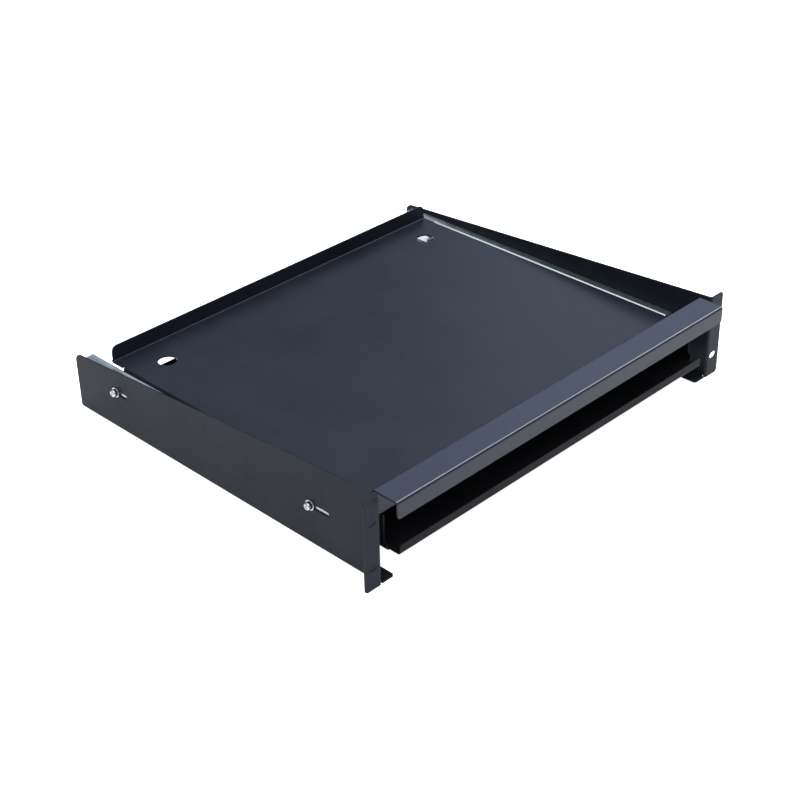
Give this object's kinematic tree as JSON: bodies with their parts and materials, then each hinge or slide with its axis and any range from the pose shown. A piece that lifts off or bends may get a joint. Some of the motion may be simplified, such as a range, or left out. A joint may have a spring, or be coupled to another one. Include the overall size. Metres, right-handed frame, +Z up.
{
  "type": "rack keyboard drawer",
  "caption": "Black 19-inch rack drawer: folded side brackets with ears, ball slides, and a sliding tray with a hood over an open-fronted keyboard pan.",
  "frame": {"origin": "centre of the four ear slots, on the front plane of the ears", "axes": "+X to the right seen from the front, +Y into the rack, +Z up; the drawer pulls out along -Y"},
  "size_m": [0.4826, 0.4213, 0.0882],
  "materials": {
    "black_coat": "satin black powder coat",
    "zinc_slide": "bright blue-white zinc plate",
    "zinc_fastener": "bright zinc plate",
    "cage_steel": "oiled rolled strip",
    "ball_steel": "polished bearing steel",
    "black_plastic": "matte moulded plastic"
  },
  "bodies": {
    "rack_frame": {"left_bracket": "black_coat", "right_bracket": "black_coat", "left_bracket_screws": "zinc_fastener", "right_bracket_screws": "zinc_fastener", "left_bracket_washers": "zinc_fastener", "right_bracket_washers": "zinc_fastener", "left_spring_washers": "zinc_fastener", "right_spring_washers": "zinc_fastener", "left_slide_outer": "zinc_slide", "right_slide_outer": "zinc_slide", "left_slide_bumper": "black_plastic", "right_slide_bumper": "black_plastic"},
    "drawer": {"tray": "black_coat", "keyboard_pan": "black_coat", "left_slide_inner": "zinc_slide", "right_slide_inner": "zinc_slide", "left_drawer_screws": "zinc_fastener", "right_drawer_screws": "zinc_fastener"},
    "left_middle": {"left_slide_middle": "zinc_slide"},
    "right_middle": {"right_slide_middle": "zinc_slide"},
    "left_outer_row": {"left_outer_cage": "cage_steel", "left_outer_balls": "ball_steel"},
    "right_outer_row": {"right_outer_cage": "cage_steel", "right_outer_balls": "ball_steel"},
    "left_inner_row": {"left_inner_cage": "cage_steel", "left_inner_balls": "ball_steel"},
    "right_inner_row": {"right_inner_cage": "cage_steel", "right_inner_balls": "ball_steel"}
  },
  "joints": [
    {"name": "drawer_slide", "type": "slide", "parent": "rack_frame", "child": "drawer", "axis": [0, -1, 0], "range_m": [0, 0.35]},
    {"name": "left_middle_slide", "type": "slide", "parent": "rack_frame", "child": "left_middle", "axis": [0, -1, 0], "range_m": [0, 0.175]},
    {"name": "right_middle_slide", "type": "slide", "parent": "rack_frame", "child": "right_middle", "axis": [0, -1, 0], "range_m": [0, 0.175]},
    {"name": "left_outer_row_slide", "type": "slide", "parent": "rack_frame", "child": "left_outer_row", "axis": [0, -1, 0], "range_m": [0, 0.0875]},
    {"name": "right_outer_row_slide", "type": "slide", "parent": "rack_frame", "child": "right_outer_row", "axis": [0, -1, 0], "range_m": [0, 0.0875]},
    {"name": "left_inner_row_slide", "type": "slide", "parent": "rack_frame", "child": "left_inner_row", "axis": [0, -1, 0], "range_m": [0, 0.2625]},
    {"name": "right_inner_row_slide", "type": "slide", "parent": "rack_frame", "child": "right_inner_row", "axis": [0, -1, 0], "range_m": [0, 0.2625]}
  ],
  "couplings": [
    {"joint": "left_middle_slide", "follows": "drawer_slide", "ratio": 0.5},
    {"joint": "right_middle_slide", "follows": "drawer_slide", "ratio": 0.5},
    {"joint": "left_outer_row_slide", "follows": "drawer_slide", "ratio": 0.25},
    {"joint": "right_outer_row_slide", "follows": "drawer_slide", "ratio": 0.25},
    {"joint": "left_inner_row_slide", "follows": "drawer_slide", "ratio": 0.75},
    {"joint": "right_inner_row_slide", "follows": "drawer_slide", "ratio": 0.75}
  ]
}
